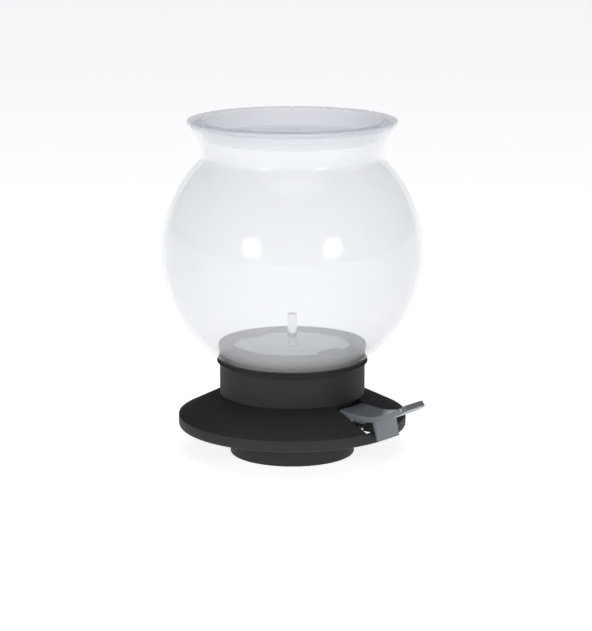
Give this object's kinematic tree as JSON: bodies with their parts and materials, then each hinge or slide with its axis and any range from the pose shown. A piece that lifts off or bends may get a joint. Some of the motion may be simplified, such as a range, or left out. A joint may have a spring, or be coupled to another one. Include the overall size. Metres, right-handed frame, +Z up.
{
  "type": "steep-and-release coffee dripper",
  "caption": "Manual coffee dripper: a spherical glass globe with a flared mouth and clear drop-in lid on a black conical foot, with a steel valve pin lifted by a thumb lever.",
  "frame": {"origin": "centre of the foot spigot's lower edge, on the globe's axis", "axes": "+Z up along the axis of the globe, +X towards the thumb lever"},
  "size_m": [0.143, 0.13, 0.1675],
  "materials": {
    "clear_glass": "clear blown glass",
    "clear_plastic": "clear, faintly violet at the edges",
    "black_plastic": "satin black moulding",
    "dark_plastic": "matt charcoal moulding",
    "grey_plastic": "smooth cool grey moulding",
    "black_silicone": "soft black silicone",
    "polished_steel": "polished stainless steel",
    "plain_steel": "turned stainless steel",
    "woven_steel": "fine woven stainless mesh"
  },
  "bodies": {
    "root": {"glass_globe": "clear_glass", "glass_seat_gasket": "black_silicone", "base_body": "black_plastic", "drip_nozzle": "black_plastic", "nozzle_oring": "black_silicone", "neck_gasket": "black_silicone", "skirt_shell": "black_plastic", "foot_ring": "black_plastic", "base_screws": "plain_steel", "pivot_pin": "plain_steel", "pivot_retainer": "plain_steel"},
    "lid": {"lid": "clear_plastic"},
    "clamp": {"clamp_ring": "dark_plastic", "clamp_ring_gasket": "black_silicone"},
    "filter": {"filter_frame": "dark_plastic", "filter_mesh": "woven_steel", "filter_eyelet": "plain_steel"},
    "lever": {"lever": "grey_plastic"},
    "valve": {"valve_pin": "polished_steel", "valve_seal": "black_silicone", "valve_weight": "plain_steel", "valve_washer": "plain_steel", "valve_clip": "plain_steel"}
  },
  "joints": [
    {"name": "lid_lift", "type": "slide", "parent": "root", "child": "lid", "axis": [0, 0, 1], "range_m": [0, 0.06]},
    {"name": "clamp_twist", "type": "hinge", "parent": "root", "child": "clamp", "pos_m": [0, 0, 0.05], "axis": [0, 0, 1], "range_deg": [0, 45]},
    {"name": "filter_lift", "type": "slide", "parent": "clamp", "child": "filter", "axis": [0, 0, 1], "range_m": [0, 0.05]},
    {"name": "lever_press", "type": "hinge", "parent": "root", "child": "lever", "pos_m": [0.026, 0, 0.02], "axis": [0, 1, 0], "range_deg": [0, 10]},
    {"name": "valve_lift", "type": "slide", "parent": "root", "child": "valve", "axis": [0, 0, 1], "range_m": [0, 0.0048]}
  ],
  "couplings": [
    {"joint": "valve_lift", "follows": "lever_press", "m_per_rad": 0.027}
  ]
}
